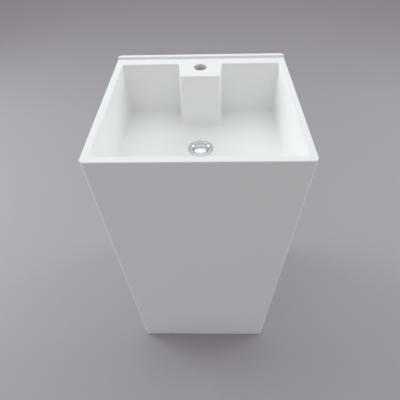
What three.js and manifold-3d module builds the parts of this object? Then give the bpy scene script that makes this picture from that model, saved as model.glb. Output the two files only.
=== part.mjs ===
// Free-standing square pedestal basin with its click waste and bottle trap.
// Millimetres, +Z up, +Y towards the wall. The origin is on the floor under the middle of the body.
import * as THREE from 'three';
import { mergeVertices } from 'three/addons/utils/BufferGeometryUtils.js';
import Module from 'manifold-3d';

const wasm = await Module();
wasm.setup();

// Body
const RIM_Z = 800;
const HALF_TOP = 225;
const HALF_FOOT = 202.5;
const WALL = 18;
const EDGE_RADIUS = 12;
const GLUE_GAP = 0.3;
const LEAN = (HALF_TOP - HALF_FOOT) / RIM_Z;
const HALF_INSIDE = HALF_TOP - WALL;
const PAD_HEIGHT = 2;
const PAD_SIZE = 26;
const PAD_PLACE = 184;
const BODY_BOTTOM = PAD_HEIGHT + GLUE_GAP;

// Basin
const BASIN_BACK = 180;
const REAR_WALL = 12;
const DECK_THICKNESS = 12;
const LIP_HEIGHT = 6;
const LIP_DEPTH = 12;
const BLOCK_FRONT_WIDTH = 102;
const BLOCK_REAR_WIDTH = 113;
const BLOCK_DEPTH = 70;
const BLOCK_WALL = 12;
const BLOCK_ROUND = 5;
const BLOCK_FLARE = 0.0165;
const BLOCK_FRONT = BASIN_BACK - BLOCK_DEPTH;
const TAP_HOLE_RADIUS = 17.5;
const TAP_HOLE_Y = 161;
const FLOOR_TOP = 661.5;
const FLOOR_BOTTOM = 640;
const DISH_RADIUS = 130;
const DISH_FALL = 5;
const DUCT = { halfWidth: 36, front: 122, back: 170 };

// Service opening in the back panel
const OPENING = { halfWidth: 130, low: 150, high: 600, radius: 20 };

// Strips inside the body
const STRIP = 18;
const BEARER_HEIGHT = 30;
const RAIL_HEIGHT = 40;

// Floor brackets and their screws
const BRACKET = { thickness: 3, height: 38, foot: 40, halfLength: 25, floorHole: 4.5, wallHole: 2.6 };
const SCREW = { shank: 2, head: 4.5, headHeight: 2.5, length: 17, pilot: 2.3, z: 24, spread: 12 };

// Waste, centred on its own upright axis
const WASTE_Y = 3;
const SEAT_DEPTH = 1.5;
const SEAT_RADIUS = 33;
const SEAT_Z = FLOOR_TOP - DISH_FALL - SEAT_DEPTH;
const WASTE_HOLE = 22.9;
const FLANGE_RADIUS = 31.5;
const THREAD_RADIUS = 20.9;
const THREAD_HOLE = 21.3;
const THROAT_RADIUS = 17.8;
const WASTE_BOTTOM = SEAT_Z - 67;
const CROSS_Z = SEAT_Z - 30;
const CROSS_HEIGHT = 6;
const CAP_RADIUS = 18.7;
const CAP_DOME = 4.2;
const CAP_SPACE = 0.8;
const STEM_RADIUS = 3;
const NUT_FLATS = 54;

// Trap
const PIPE_OUT = 16;
const PIPE_IN = 14.4;
const COLLAR_RADIUS = 20.6;
const BOSS_RADIUS = 20.4;
const BOTTLE_RADIUS = 33;
const BOTTLE_WALL = 2.5;
const BOTTLE_LOW = 470;
const BOTTLE_SHOULDER = 535;
const BOTTLE_TOP = 556;
const OUTLET_Z = 520;
const OUTLET_BOSS = 55;
const PIPE_END = 224;
const CUP_RADIUS = 37;

// Fineness of round shapes
const ROUND = 24;
const DISH_ROUND = 40;
const CORNER_STEPS = 4;
const OVERCUT = 5;

const MATERIALS = {
  solidSurface: { color: 0xeef0ee, roughness: 0.45, metalness: 0 },
  chrome: { color: 0xd5d8da, roughness: 0.08, metalness: 1 },
  brass: { color: 0xb8964f, roughness: 0.3, metalness: 1 },
  steel: { color: 0x9ea3a6, roughness: 0.35, metalness: 1 },
  rubber: { color: 0x2a2a2a, roughness: 0.8, metalness: 0 },
  whitePlastic: { color: 0xe8e8e4, roughness: 0.35, metalness: 0 },
  greyPlastic: { color: 0x8c9092, roughness: 0.5, metalness: 0 },
};

// ---- Shape helpers ----

function withoutSlivers(geometry) {
  const bare = new THREE.BufferGeometry();
  bare.setAttribute('position', geometry.getAttribute('position').clone());
  if (geometry.index) {
    bare.setIndex(geometry.index.clone());
  }
  const merged = mergeVertices(bare, 1e-4);
  const corners = merged.index.array;
  const kept = [];
  for (let i = 0; i < corners.length; i += 3) {
    const [a, b, c] = corners.slice(i, i + 3);
    if (a !== b && b !== c && c !== a) {
      kept.push(a, b, c);
    }
  }
  merged.setIndex(kept);
  return merged;
}

function toSolid(geometry) {
  const clean = withoutSlivers(geometry);
  const mesh = new wasm.Mesh({
    numProp: 3,
    vertProperties: new Float32Array(clean.getAttribute('position').array),
    triVerts: new Uint32Array(clean.index.array),
  });
  mesh.merge();
  return new wasm.Manifold(mesh);
}

function toGeometry(solid) {
  const mesh = solid.getMesh();
  const geometry = new THREE.BufferGeometry();
  geometry.setAttribute('position', new THREE.BufferAttribute(new Float32Array(mesh.vertProperties), 3));
  geometry.setIndex(new THREE.BufferAttribute(new Uint32Array(mesh.triVerts), 1));
  geometry.computeVertexNormals();
  return geometry;
}

function cut(geometry, ...tools) {
  return toGeometry(tools.reduce((solid, tool) => solid.subtract(toSolid(tool)), toSolid(geometry)));
}

function join(geometry, ...others) {
  return toGeometry(others.reduce((solid, other) => solid.add(toSolid(other)), toSolid(geometry)));
}

function raise(shape, low, high) {
  const geometry = new THREE.ExtrudeGeometry(shape, {
    depth: high - low,
    bevelEnabled: false,
    curveSegments: CORNER_STEPS,
  });
  return geometry.translate(0, 0, low);
}

function rectangle(x0, x1, y0, y1) {
  const left = Math.min(x0, x1);
  const right = Math.max(x0, x1);
  return new THREE.Shape([
    new THREE.Vector2(left, y0),
    new THREE.Vector2(right, y0),
    new THREE.Vector2(right, y1),
    new THREE.Vector2(left, y1),
  ]);
}

function box(x0, x1, y0, y1, low, high) {
  return raise(rectangle(x0, x1, y0, y1), low, high);
}

function circle(x, y, radius, steps = ROUND) {
  const points = [];
  for (let i = 0; i < steps; i += 1) {
    const turn = (2 * Math.PI * i) / steps;
    points.push(new THREE.Vector2(x + radius * Math.cos(turn), y + radius * Math.sin(turn)));
  }
  return new THREE.Shape(points);
}

// Moves every point in or out with its height, so a wall drawn at the rim leans like the body does.
function lean(geometry, xWay, yWay) {
  const place = geometry.getAttribute('position');
  for (let i = 0; i < place.count; i += 1) {
    const shift = LEAN * (RIM_Z - place.getZ(i));
    place.setX(i, place.getX(i) - Math.sign(place.getX(i)) * shift * xWay);
    place.setY(i, place.getY(i) - Math.sign(place.getY(i)) * shift * yWay);
  }
  return geometry;
}

// Turns a closed outline of [radius, height] pairs about the upright axis through (0, y).
function turned(outline, y = WASTE_Y, steps = ROUND) {
  const area = outline.reduce((sum, [r, z], i) => {
    const [nextR, nextZ] = outline[(i + 1) % outline.length];
    return sum + r * nextZ - nextR * z;
  }, 0);
  const ordered = area > 0 ? outline.slice() : outline.slice().reverse();
  ordered.push(ordered[0]);
  const profile = ordered.map(([r, z]) => new THREE.Vector2(r, z));
  const lathe = new THREE.LatheGeometry(profile, steps);
  lathe.rotateX(Math.PI / 2);
  lathe.translate(0, y, 0);
  return withoutSlivers(lathe);
}

function ring(inner, outer, low, high) {
  return turned([[inner, low], [outer, low], [outer, high], [inner, high]]);
}

// Turns an outline of [radius, distance] pairs about the level axis that leaves the trap towards the wall.
function turnedToWall(outline) {
  const geometry = turned(outline, 0);
  geometry.rotateX(-Math.PI / 2);
  return geometry.translate(0, WASTE_Y, OUTLET_Z);
}

const object = new THREE.Group();

function part(name, geometry, material) {
  const mesh = new THREE.Mesh(geometry, new THREE.MeshStandardMaterial(MATERIALS[material]));
  mesh.name = name;
  object.add(mesh);
}

// ---- Body ----

// A full-width panel whose two upright outer edges are rounded; way is -1 at the front and 1 at the back.
function endPanel(way) {
  const face = way * HALF_TOP;
  const inner = way * HALF_INSIDE;
  const bend = HALF_TOP - EDGE_RADIUS;
  const outline = new THREE.Shape();
  outline.moveTo(-HALF_TOP, inner);
  outline.lineTo(-HALF_TOP, way * bend);
  outline.absarc(-bend, way * bend, EDGE_RADIUS, Math.PI, way * Math.PI / 2, way > 0);
  outline.lineTo(bend, face);
  outline.absarc(bend, way * bend, EDGE_RADIUS, way * Math.PI / 2, 0, way > 0);
  outline.lineTo(HALF_TOP, inner);
  return lean(raise(outline, BODY_BOTTOM, RIM_Z), 1, 1);
}

function roundedOpening() {
  const { halfWidth, low, high, radius } = OPENING;
  const right = halfWidth - radius;
  const shape = new THREE.Shape();
  shape.absarc(right, high - radius, radius, 0, Math.PI / 2);
  shape.absarc(-right, high - radius, radius, Math.PI / 2, Math.PI);
  shape.absarc(-right, low + radius, radius, Math.PI, 1.5 * Math.PI);
  shape.absarc(right, low + radius, radius, 1.5 * Math.PI, 2 * Math.PI);
  const depth = HALF_TOP - BASIN_BACK + OVERCUT;
  return raise(shape, 0, depth).rotateX(Math.PI / 2).translate(0, HALF_TOP + OVERCUT, 0);
}

function sidePanel(side) {
  const end = HALF_INSIDE - GLUE_GAP;
  return lean(box(side * HALF_INSIDE, side * HALF_TOP, -end, end, BODY_BOTTOM, RIM_Z), 1, 1);
}

function basinFloor() {
  const edge = HALF_INSIDE - GLUE_GAP;
  const slab = lean(box(-edge, edge, -edge, BASIN_BACK - GLUE_GAP, FLOOR_BOTTOM, FLOOR_TOP), 1, 1);
  const dish = [];
  const rings = 5;
  for (let i = 0; i <= rings; i += 1) {
    const share = i / rings;
    dish.push([DISH_RADIUS * share, FLOOR_TOP - DISH_FALL * (1 - share * share)]);
  }
  dish.push([DISH_RADIUS, FLOOR_TOP + OVERCUT], [0, FLOOR_TOP + OVERCUT]);
  const seat = turned([[0, SEAT_Z], [SEAT_RADIUS, SEAT_Z], [SEAT_RADIUS, RIM_Z], [0, RIM_Z]]);
  const hole = turned([[0, 0], [WASTE_HOLE, 0], [WASTE_HOLE, RIM_Z], [0, RIM_Z]]);
  const duct = box(-DUCT.halfWidth, DUCT.halfWidth, DUCT.front, DUCT.back, 0, RIM_Z);
  return cut(slab, turned(dish, WASTE_Y, DISH_ROUND), seat, hole, duct);
}

function basinRearWall() {
  const end = HALF_INSIDE - GLUE_GAP;
  const top = RIM_Z - DECK_THICKNESS - GLUE_GAP;
  return lean(box(-end, end, BASIN_BACK, BASIN_BACK + REAR_WALL, FLOOR_BOTTOM, top), 1, 1);
}

// Draws the front of the tap block, with its rounded edges, from its left cheek's back to its right cheek's.
function drawBlockFront(outline, back) {
  const front = BLOCK_FRONT_WIDTH / 2;
  const rear = BLOCK_REAR_WIDTH / 2;
  const bend = BLOCK_FRONT + BLOCK_ROUND;
  outline.moveTo(-rear, back);
  outline.absarc(BLOCK_ROUND - front, bend, BLOCK_ROUND, Math.PI, 1.5 * Math.PI, false);
  outline.absarc(front - BLOCK_ROUND, bend, BLOCK_ROUND, 1.5 * Math.PI, 2 * Math.PI, false);
  outline.lineTo(rear, back);
}

// The hollow block under the tap: a front and two cheeks that spread a little towards the wall and the floor.
function tapBlock() {
  const frontInner = BLOCK_FRONT_WIDTH / 2 - BLOCK_WALL;
  const rearInner = BLOCK_REAR_WIDTH / 2 - BLOCK_WALL;
  const back = BASIN_BACK - GLUE_GAP;
  const outline = new THREE.Shape();
  drawBlockFront(outline, back);
  outline.lineTo(rearInner, back);
  outline.lineTo(frontInner, BLOCK_FRONT + BLOCK_WALL);
  outline.lineTo(-frontInner, BLOCK_FRONT + BLOCK_WALL);
  outline.lineTo(-rearInner, back);
  const top = RIM_Z - DECK_THICKNESS - GLUE_GAP;
  return lean(raise(outline, FLOOR_TOP + GLUE_GAP, top), -BLOCK_FLARE / LEAN, 1);
}

// The ledge over the tap block, which holds the tap hole and runs back to the wall.
function tapLedge() {
  const rear = BLOCK_REAR_WIDTH / 2;
  const end = HALF_INSIDE - 2 * GLUE_GAP;
  const outline = new THREE.Shape();
  drawBlockFront(outline, BASIN_BACK);
  outline.lineTo(rear, end);
  outline.lineTo(-rear, end);
  outline.holes.push(circle(0, TAP_HOLE_Y, TAP_HOLE_RADIUS));
  return raise(outline, RIM_Z - DECK_THICKNESS, RIM_Z);
}

// The landing behind the basin, on one side of the tap ledge.
function deck(side) {
  const near = side * (BLOCK_REAR_WIDTH / 2 + GLUE_GAP);
  const end = HALF_INSIDE - 2 * GLUE_GAP;
  return box(Math.min(near, side * end), Math.max(near, side * end), BASIN_BACK, end, RIM_Z - DECK_THICKNESS, RIM_Z);
}

function backLip() {
  const bend = HALF_TOP - EDGE_RADIUS;
  const outline = new THREE.Shape();
  outline.moveTo(-HALF_TOP, HALF_TOP - LIP_DEPTH);
  outline.absarc(-bend, bend, EDGE_RADIUS, Math.PI, Math.PI / 2, true);
  outline.absarc(bend, bend, EDGE_RADIUS, Math.PI / 2, 0, true);
  outline.lineTo(HALF_TOP, HALF_TOP - LIP_DEPTH);
  return raise(outline, RIM_Z + GLUE_GAP, RIM_Z + LIP_HEIGHT);
}

// ---- Strips inside the body ----

// A strip along a side wall; it runs from the front strip to the back wall's strip.
function sideStrip(side, low, high) {
  const face = side * (HALF_INSIDE - GLUE_GAP);
  const inner = side * (HALF_INSIDE - STRIP);
  const end = HALF_INSIDE - STRIP - GLUE_GAP;
  return lean(box(face, inner, -end, end, low, high), 1, 1);
}

function endStrip(way, low, high) {
  const half = HALF_INSIDE - GLUE_GAP;
  const near = way * (HALF_INSIDE - STRIP);
  const far = way * half;
  return lean(box(-half, half, Math.min(near, far), Math.max(near, far), low, high), 1, 1);
}

// A rod along X, used for screws and for the holes they go in.
function levelRod(radius, length, x, y, z) {
  const rod = new THREE.CylinderGeometry(radius, radius, length, ROUND / 2);
  return rod.rotateZ(Math.PI / 2).translate(x, y, z);
}

function screwHoles(side, radius) {
  const middle = side * (HALF_INSIDE - LEAN * (RIM_Z - SCREW.z) - STRIP);
  return [-1, 1].map((end) => levelRod(radius, 2 * STRIP, middle, end * SCREW.spread, SCREW.z));
}

function baseRail(side) {
  const rail = sideStrip(side, BODY_BOTTOM, BODY_BOTTOM + RAIL_HEIGHT);
  return cut(rail, ...screwHoles(side, SCREW.pilot));
}

function floorBracket(side) {
  const back = HALF_INSIDE - STRIP - GLUE_GAP;
  const { thickness, height, foot, halfLength, floorHole, wallHole } = BRACKET;
  const leg = lean(box(side * back, side * (back - thickness), -halfLength, halfLength, 0, height), 1, 0);
  const plate = lean(box(side * back, side * (back - foot), -halfLength, halfLength, 0, thickness), 1, 0);
  const middle = side * (back - LEAN * RIM_Z - foot / 2);
  const bolt = raise(circle(middle, 0, floorHole, ROUND / 2), -OVERCUT, height);
  return cut(join(leg, plate), bolt, ...screwHoles(side, wallHole));
}

// A pan-head screw that holds a floor bracket to its rail.
function bracketScrew(side, end) {
  const seat = HALF_INSIDE - STRIP - GLUE_GAP - BRACKET.thickness - LEAN * (RIM_Z - SCREW.z);
  const play = 1.5 * GLUE_GAP;
  const head = side * (seat - play - SCREW.headHeight / 2);
  const shank = side * (seat - play + SCREW.length / 2 - 1);
  const y = end * SCREW.spread;
  return join(
    levelRod(SCREW.head, SCREW.headHeight, head, y, SCREW.z),
    levelRod(SCREW.shank, SCREW.length + 2, shank, y, SCREW.z),
  );
}

function footPad(xWay, yWay) {
  const half = PAD_SIZE / 2;
  const pad = box(-half, half, -half, half, 0, PAD_HEIGHT);
  return pad.translate(xWay * PAD_PLACE, yWay * PAD_PLACE, 0);
}

// ---- Waste ----

function wasteBody() {
  const under = SEAT_Z + 1.6;
  const shell = turned([
    [FLANGE_RADIUS, under],
    [FLANGE_RADIUS, under + 0.6],
    [FLANGE_RADIUS - 1.5, under + 1.6],
    [CAP_RADIUS + 4.5, under + 1.6],
    [CAP_RADIUS + CAP_SPACE, under - 1.4],
    [CAP_RADIUS + CAP_SPACE, under - 2.8],
    [THROAT_RADIUS, under - 4.8],
    [THROAT_RADIUS, WASTE_BOTTOM],
    [THREAD_RADIUS, WASTE_BOTTOM],
    [THREAD_RADIUS, under - 4.8],
    [THREAD_RADIUS + 1.5, under - 1.6],
    [THREAD_RADIUS + 1.5, under],
  ]);
  const reach = THROAT_RADIUS + 1.5;
  const bar = 2;
  const across = box(-reach, reach, -bar, bar, CROSS_Z, CROSS_Z + CROSS_HEIGHT).translate(0, WASTE_Y, 0);
  const along = box(-bar, bar, -reach, reach, CROSS_Z, CROSS_Z + CROSS_HEIGHT).translate(0, WASTE_Y, 0);
  const hub = turned([[0, CROSS_Z], [8.5, CROSS_Z], [8.5, CROSS_Z + CROSS_HEIGHT], [0, CROSS_Z + CROSS_HEIGHT]]);
  const bore = turned([[0, 0], [5.3, 0], [5.3, RIM_Z], [0, RIM_Z]]);
  return cut(join(shell, across, along, hub), bore);
}

function wasteNut() {
  const top = FLOOR_BOTTOM - 5.7;
  const outline = circle(0, WASTE_Y, NUT_FLATS / Math.sqrt(3), 6);
  outline.holes.push(circle(0, WASTE_Y, THREAD_HOLE));
  return raise(outline, top - 10, top);
}

function clickCartridge() {
  const shoulder = CROSS_Z + CROSS_HEIGHT + GLUE_GAP;
  return turned([
    [0, shoulder - 25],
    [5, shoulder - 25],
    [5, shoulder],
    [7.5, shoulder],
    [7.5, shoulder + 3],
    [5, shoulder + 3],
    [5, shoulder + 5.7],
    [STEM_RADIUS + 0.5, shoulder + 5.7],
    [STEM_RADIUS + 0.5, shoulder - 22],
    [0, shoulder - 22],
  ]);
}

// A coil that closes on itself at neither end; its wire is a six-sided rod swept along the helix.
function plugSpring() {
  const low = SEAT_Z - 17.1;
  const rise = 8.1;
  const turns = 4;
  const coil = 4.6;
  const wire = 0.6;
  class Helix extends THREE.Curve {
    getPoint(t) {
      const turn = 2 * Math.PI * turns * t;
      return new THREE.Vector3(coil * Math.cos(turn), WASTE_Y + coil * Math.sin(turn), low + rise * t);
    }
  }
  return withoutSlivers(new THREE.ExtrudeGeometry(circle(0, 0, wire, 6), {
    steps: 12 * turns,
    bevelEnabled: false,
    extrudePath: new Helix(),
  }));
}

function plugStem() {
  const top = SEAT_Z - 1.1;
  return turned([[0, SEAT_Z - 43], [STEM_RADIUS, SEAT_Z - 43], [STEM_RADIUS, top], [0, top]]);
}

function plugCap() {
  const rim = SEAT_Z;
  const under = rim - 1.4;
  const socketEnd = rim - 8.1;
  const socketTop = rim - 0.6;
  const outline = [];
  const rings = 5;
  for (let i = 0; i <= rings; i += 1) {
    const share = i / rings;
    outline.push([CAP_RADIUS * share, rim + CAP_DOME * (1 - share * share)]);
  }
  const socket = STEM_RADIUS + GLUE_GAP;
  outline.push(
    [CAP_RADIUS, rim - 1],
    [CAP_RADIUS - 4.3, under],
    [CAP_RADIUS - 4.3, under - 2.6],
    [CAP_RADIUS - 6.5, under - 2.6],
    [CAP_RADIUS - 6.5, under],
    [6, under],
    [6, socketEnd],
    [socket, socketEnd],
    [socket, socketTop],
    [0, socketTop],
  );
  return turned(outline);
}

function plugSeal() {
  const top = SEAT_Z - 1.9;
  const inner = CAP_RADIUS - 4;
  return turned([[inner, top - 1.6], [inner + 2.2, top - 1.6], [inner + 3, top], [inner, top]]);
}

// ---- Trap ----

// A union nut's outline: a threaded skirt and an inward lip that grips a pipe's seal.
function unionNut(low, high, lip, outer, way) {
  const lipZ = way > 0 ? high - lip : low + lip;
  const skirt = way > 0 ? low : high;
  const end = way > 0 ? high : low;
  return [
    [THREAD_HOLE, skirt],
    [outer, skirt],
    [outer, end],
    [PIPE_OUT + 0.5, end],
    [PIPE_OUT + 0.5, lipZ],
    [THREAD_HOLE, lipZ],
  ];
}

function trapInletTube() {
  const collar = WASTE_BOTTOM - 2.6;
  const end = BOTTLE_LOW + 2;
  return turned([
    [PIPE_IN, end],
    [PIPE_OUT, end],
    [PIPE_OUT, collar - 2.8],
    [COLLAR_RADIUS, collar - 2.8],
    [COLLAR_RADIUS, collar],
    [PIPE_IN, collar],
  ]);
}

function trapBody() {
  const inner = BOTTLE_RADIUS - BOTTLE_WALL;
  const bottle = turned([
    [inner, BOTTLE_LOW],
    [BOTTLE_RADIUS, BOTTLE_LOW],
    [BOTTLE_RADIUS, BOTTLE_SHOULDER],
    [BOSS_RADIUS, BOTTLE_SHOULDER + 9],
    [BOSS_RADIUS, BOTTLE_TOP],
    [PIPE_OUT + 0.5, BOTTLE_TOP],
    [PIPE_OUT + 0.5, BOTTLE_SHOULDER + 5],
    [inner, BOTTLE_SHOULDER - 3],
  ]);
  const boss = turnedToWall([
    [0, inner + 1],
    [BOSS_RADIUS, inner + 1],
    [BOSS_RADIUS, OUTLET_BOSS],
    [0, OUTLET_BOSS],
  ]);
  const way = turnedToWall([[0, PIPE_OUT + 4], [PIPE_IN, PIPE_OUT + 4], [PIPE_IN, RIM_Z], [0, RIM_Z]]);
  const socket = turnedToWall([
    [0, OUTLET_BOSS - 12],
    [PIPE_OUT + 0.5, OUTLET_BOSS - 12],
    [PIPE_OUT + 0.5, RIM_Z],
    [0, RIM_Z],
  ]);
  const inside = turned([[0, BOTTLE_LOW - 1], [inner, BOTTLE_LOW - 1], [inner, BOTTLE_SHOULDER - 3], [0, BOTTLE_SHOULDER]]);
  return cut(join(bottle, boss), inside, way, socket);
}

function trapCup() {
  const top = BOTTLE_LOW + 16;
  const shelf = BOTTLE_LOW - 2.5;
  const bottom = BOTTLE_LOW - 34;
  const thread = BOTTLE_RADIUS + 0.4;
  const inner = BOTTLE_RADIUS - BOTTLE_WALL;
  return turned([
    [0, bottom],
    [inner - 2, bottom],
    [inner + 2, bottom + 4],
    [CUP_RADIUS, shelf],
    [CUP_RADIUS, top],
    [thread, top],
    [thread, shelf],
    [inner, shelf],
    [inner - 1, bottom + 6],
    [inner - 4, bottom + 3],
    [0, bottom + 3],
  ]);
}

function outletPipe() {
  const start = OUTLET_BOSS - 11;
  const end = PIPE_END - WASTE_Y;
  return turnedToWall([[PIPE_IN, start], [PIPE_OUT, start], [PIPE_OUT, end], [PIPE_IN, end]]);
}

// ---- Assembly ----

function addBody() {
  part('front_panel', endPanel(-1), 'solidSurface');
  part('back_panel', cut(endPanel(1), roundedOpening()), 'solidSurface');
  part('left_panel', sidePanel(-1), 'solidSurface');
  part('right_panel', sidePanel(1), 'solidSurface');
  part('basin_floor', basinFloor(), 'solidSurface');
  part('basin_rear_wall', basinRearWall(), 'solidSurface');
  part('tap_block', tapBlock(), 'solidSurface');
  part('tap_ledge', tapLedge(), 'solidSurface');
  part('left_deck', deck(-1), 'solidSurface');
  part('right_deck', deck(1), 'solidSurface');
  part('back_lip', backLip(), 'solidSurface');
}

function addStrips() {
  const bearerTop = FLOOR_BOTTOM - GLUE_GAP;
  const bearerLow = bearerTop - BEARER_HEIGHT;
  const railTop = BODY_BOTTOM + RAIL_HEIGHT;
  part('front_bearer', endStrip(-1, bearerLow, bearerTop), 'solidSurface');
  part('back_bearer', endStrip(1, bearerLow, bearerTop), 'solidSurface');
  part('left_bearer', sideStrip(-1, bearerLow, bearerTop), 'solidSurface');
  part('right_bearer', sideStrip(1, bearerLow, bearerTop), 'solidSurface');
  part('front_base_rail', endStrip(-1, BODY_BOTTOM, railTop), 'solidSurface');
  part('back_base_rail', endStrip(1, BODY_BOTTOM, railTop), 'solidSurface');
  part('left_base_rail', baseRail(-1), 'solidSurface');
  part('right_base_rail', baseRail(1), 'solidSurface');
}

function addFixings() {
  for (const [name, side] of [['left', -1], ['right', 1]]) {
    part(`${name}_floor_bracket`, floorBracket(side), 'steel');
    part(`${name}_bracket_screw_front`, bracketScrew(side, -1), 'steel');
    part(`${name}_bracket_screw_back`, bracketScrew(side, 1), 'steel');
    part(`foot_pad_front_${name}`, footPad(side, -1), 'rubber');
    part(`foot_pad_back_${name}`, footPad(side, 1), 'rubber');
  }
}

function addWaste() {
  part('waste_body', wasteBody(), 'chrome');
  part('waste_gasket', ring(WASTE_HOLE + 0.4, FLANGE_RADIUS - 1, SEAT_Z + 0.3, SEAT_Z + 1.3), 'rubber');
  part('lower_washer', ring(THREAD_HOLE, 29.5, FLOOR_BOTTOM - 3.6, FLOOR_BOTTOM - 0.3), 'rubber');
  part('friction_washer', ring(THREAD_HOLE, 29.5, FLOOR_BOTTOM - 5.4, FLOOR_BOTTOM - 3.9), 'greyPlastic');
  part('waste_nut', wasteNut(), 'brass');
  part('click_cartridge', clickCartridge(), 'greyPlastic');
  part('plug_spring', plugSpring(), 'steel');
  part('plug_stem', plugStem(), 'brass');
  part('plug_seal', plugSeal(), 'rubber');
  part('plug_cap', plugCap(), 'chrome');
}

function addTrap() {
  const inletLow = WASTE_BOTTOM - 9;
  part('trap_inlet_nut', turned(unionNut(inletLow, WASTE_BOTTOM + 15, 3.3, 26.5, -1)), 'whitePlastic');
  part('trap_inlet_washer', ring(PIPE_OUT + 0.5, COLLAR_RADIUS, WASTE_BOTTOM - 2.3, WASTE_BOTTOM - 0.3), 'rubber');
  part('trap_inlet_tube', trapInletTube(), 'whitePlastic');
  part('trap_top_nut', turned(unionNut(BOTTLE_TOP - 11, BOTTLE_TOP + 6, 3, 26, 1)), 'whitePlastic');
  part('trap_top_washer', ring(PIPE_OUT + 0.4, BOSS_RADIUS, BOTTLE_TOP + 0.3, BOTTLE_TOP + 2.7), 'rubber');
  part('trap_body', trapBody(), 'whitePlastic');
  part('trap_cup', trapCup(), 'whitePlastic');
  const sealLow = BOTTLE_LOW - 2.2;
  part('trap_cup_seal', ring(BOTTLE_RADIUS - BOTTLE_WALL + 0.3, BOTTLE_RADIUS, sealLow, sealLow + 1.9), 'rubber');
  part('trap_outlet_nut', turnedToWall(unionNut(OUTLET_BOSS - 11, OUTLET_BOSS + 6, 3, 26, 1)), 'whitePlastic');
  const washer = [
    [PIPE_OUT + 0.4, OUTLET_BOSS + 0.3],
    [BOSS_RADIUS, OUTLET_BOSS + 0.3],
    [BOSS_RADIUS, OUTLET_BOSS + 2.7],
    [PIPE_OUT + 0.4, OUTLET_BOSS + 2.7],
  ];
  part('trap_outlet_washer', turnedToWall(washer), 'rubber');
  part('outlet_pipe', outletPipe(), 'whitePlastic');
}

addBody();
addStrips();
addFixings();
addWaste();
addTrap();

export default object;
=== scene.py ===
"""A free-standing pedestal basin: seamless solid-surface body, click waste, bottle trap and fixings."""
import math

import bmesh
import bpy
from bpy.props import FloatProperty, FloatVectorProperty, IntProperty, PointerProperty
from mathutils import Matrix, Vector


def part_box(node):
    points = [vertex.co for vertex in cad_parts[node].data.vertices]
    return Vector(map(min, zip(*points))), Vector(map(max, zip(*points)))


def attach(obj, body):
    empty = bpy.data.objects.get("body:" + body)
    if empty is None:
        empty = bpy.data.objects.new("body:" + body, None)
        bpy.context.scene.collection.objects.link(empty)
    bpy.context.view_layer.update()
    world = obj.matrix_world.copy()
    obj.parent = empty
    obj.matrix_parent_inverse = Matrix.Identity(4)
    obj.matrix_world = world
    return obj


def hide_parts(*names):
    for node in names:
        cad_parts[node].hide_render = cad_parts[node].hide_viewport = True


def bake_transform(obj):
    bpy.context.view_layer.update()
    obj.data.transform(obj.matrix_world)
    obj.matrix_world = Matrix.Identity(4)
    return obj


bl_info = {
    "name": "Pedestal Basin",
    "version": (1, 0, 0),
    "blender": (4, 5, 0),
    "location": "View3D > Sidebar > Basin",
    "description": "Builds a square free-standing pedestal basin with its waste and trap",
    "category": "Object",
}

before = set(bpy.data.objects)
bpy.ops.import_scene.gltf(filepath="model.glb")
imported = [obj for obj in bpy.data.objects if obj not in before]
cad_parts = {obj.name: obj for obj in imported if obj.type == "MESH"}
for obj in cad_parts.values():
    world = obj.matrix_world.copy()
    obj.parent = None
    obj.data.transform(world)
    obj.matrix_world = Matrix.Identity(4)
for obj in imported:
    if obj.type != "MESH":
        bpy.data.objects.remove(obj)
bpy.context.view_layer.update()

# Places taken from the frame, in metres
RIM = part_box("front_panel")[1].z
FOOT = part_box("front_panel")[0].z
HALF_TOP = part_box("front_panel")[1].x
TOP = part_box("back_lip")[1].z
LIP_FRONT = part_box("back_lip")[0].y
DECK_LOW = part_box("tap_ledge")[0].z
FLOOR_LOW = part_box("basin_floor")[0].z
FLOOR_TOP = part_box("basin_floor")[1].z
BLOCK_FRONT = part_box("tap_ledge")[0].y
WASTE_LOW, WASTE_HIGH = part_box("waste_body")
WASTE = Vector(((WASTE_LOW.x + WASTE_HIGH.x) / 2, (WASTE_LOW.y + WASTE_HIGH.y) / 2))
MM = 0.001
GAP = 0.3 * MM
FLANGE_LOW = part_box("waste_gasket")[1].z + GAP
SCREW_HEIGHT = 24 * MM
SCREW_SPREAD = 12 * MM
SAME = 1e-5  # places closer than this are the same

# Bores of the washers, in millimetres
BORES = {
    "waste_gasket": 23.3, "lower_washer": 21.3, "friction_washer": 21.3, "trap_inlet_washer": 16.5,
    "trap_top_washer": 16.4, "trap_outlet_washer": 16.4, "trap_cup_seal": 30.8,
}

# Stage: soft panels as (name, size, power, place, target); the camera turns by yaw, pitch and roll in degrees
DAYLIGHT = (0.90, 1.0, 0.98)
PANELS = (
    ("sky_panel", (2.4, 1.8), 13, (-0.1, 0.7, 2.7), (0, 0, 0.6)),
    ("left_panel", (1.4, 1.4), 32, (-2.4, 0.8, 1.7), (0, 0, 0.7)),
    ("right_panel", (1.4, 1.4), 19, (2.4, 0.8, 1.7), (0, 0, 0.7)),
)
WORLD_COLOUR = (0.985, 0.935, 1.0, 1)
WORLD_STRENGTH = 0.53
FLOOR_SIZE = 12
CAMERA_LENS = 31.74
CAMERA_SENSOR = 36
CAMERA_PLACE = (0.01905, -0.72916, 1.21809)
CAMERA_TURN = (-1.93, 45.8, -1.64)


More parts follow.
